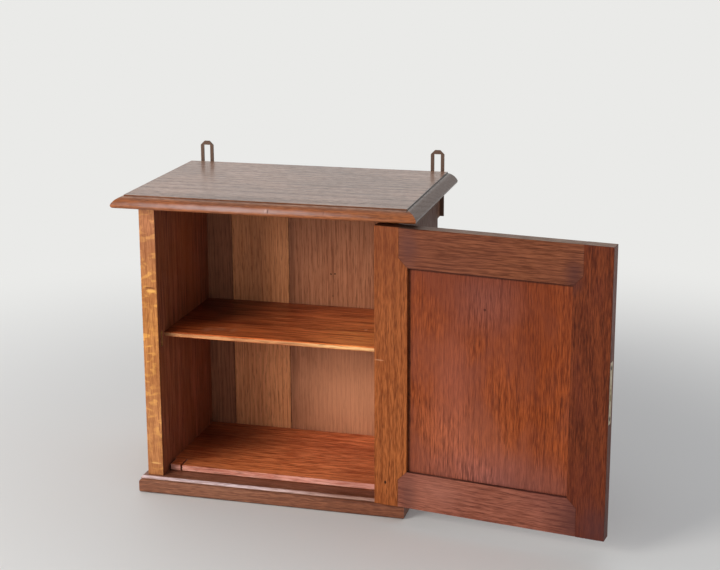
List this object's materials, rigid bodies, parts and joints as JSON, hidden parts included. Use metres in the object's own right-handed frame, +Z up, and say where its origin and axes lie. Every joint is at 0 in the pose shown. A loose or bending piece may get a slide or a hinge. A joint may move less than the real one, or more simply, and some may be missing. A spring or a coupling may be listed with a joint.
{
  "type": "wall cabinet",
  "caption": "Small oak wall cabinet with moulded top and base, a fixed shelf, a framed and panelled inset door on butt hinges with a mortise lock, and iron wall hangers.",
  "frame": {"origin": "centre of the base board's underside", "axes": "+Z up, +X to the cabinet's right as seen from its front, +Y towards the wall behind it"},
  "size_m": [0.6535, 0.3274, 0.4412],
  "materials": {
    "oak_top": "aged stained oak, glossy wax polish",
    "oak_base": "aged stained oak, worn edge",
    "oak_case": "aged stained oak, quarter-sawn figure",
    "oak_shelf": "red-stained oak, glossy polish",
    "oak_back": "straight-grained oak, dull",
    "oak_rail": "dark rough oak",
    "oak_door": "red-brown stained oak, satin polish",
    "oak_panel": "red-stained oak, satin polish",
    "dowel_beech": "plain beech",
    "hanger_iron": "brown patinated flat iron",
    "screw_steel": "aged steel",
    "hinge_brass": "aged brass",
    "lock_brass": "aged brass",
    "lock_steel": "aged steel",
    "key_steel": "aged steel"
  },
  "bodies": {
    "carcass": {"top_board": "oak_top", "base_board": "oak_base", "left_side": "oak_case", "right_side": "oak_case", "shelf_board": "oak_shelf", "floor_board": "oak_shelf", "floor_corner_block": "oak_shelf", "upper_rear_rail": "oak_rail", "lower_rear_rail": "oak_rail", "hanger_left": "hanger_iron", "hanger_right": "hanger_iron", "hanger_screws": "screw_steel", "rear_rail_screws": "screw_steel", "case_dowels": "dowel_beech", "hinge_case_screws": "hinge_brass", "back_board_1": "oak_back", "back_board_2": "oak_back", "back_board_3": "oak_back", "back_board_4": "oak_back", "lower_hinge_case_leaf": "hinge_brass", "upper_hinge_case_leaf": "hinge_brass"},
    "door": {"door_hinge_stile": "oak_door", "door_lock_stile": "oak_door", "door_top_rail": "oak_door", "door_bottom_rail": "oak_door", "door_panel": "oak_panel", "hinge_door_screws": "hinge_brass", "lock_case": "lock_steel", "lock_cap": "lock_steel", "lock_face_plate": "lock_brass", "lock_face_screws": "lock_brass", "keyhole_plate": "lock_brass", "keyhole_plate_pins": "lock_brass", "lower_hinge_door_leaf": "hinge_brass", "lower_hinge_pin": "hinge_brass", "upper_hinge_door_leaf": "hinge_brass", "upper_hinge_pin": "hinge_brass"},
    "bolt": {"lock_bolt": "lock_steel"},
    "door_key": {"key": "key_steel"}
  },
  "joints": [
    {"name": "door_swing", "type": "hinge", "parent": "carcass", "child": "door", "pos_m": [0.15205, -0.1174, 0.2105], "axis": [0, 0, 1], "range_deg": [-171.24, 8.76]},
    {"name": "key_turn", "type": "hinge", "parent": "door", "child": "door_key", "pos_m": [0.42656, -0.17548, 0.2005], "axis": [0.1523, 0.9883, 0], "range_deg": [0, 70]},
    {"name": "bolt_throw", "type": "slide", "parent": "door", "child": "bolt", "axis": [0.9883, -0.1523, 0], "range_m": [0, 0.0072]}
  ],
  "couplings": [
    {"joint": "key_turn", "follows": "bolt_throw", "rad_per_m": 169.68}
  ]
}
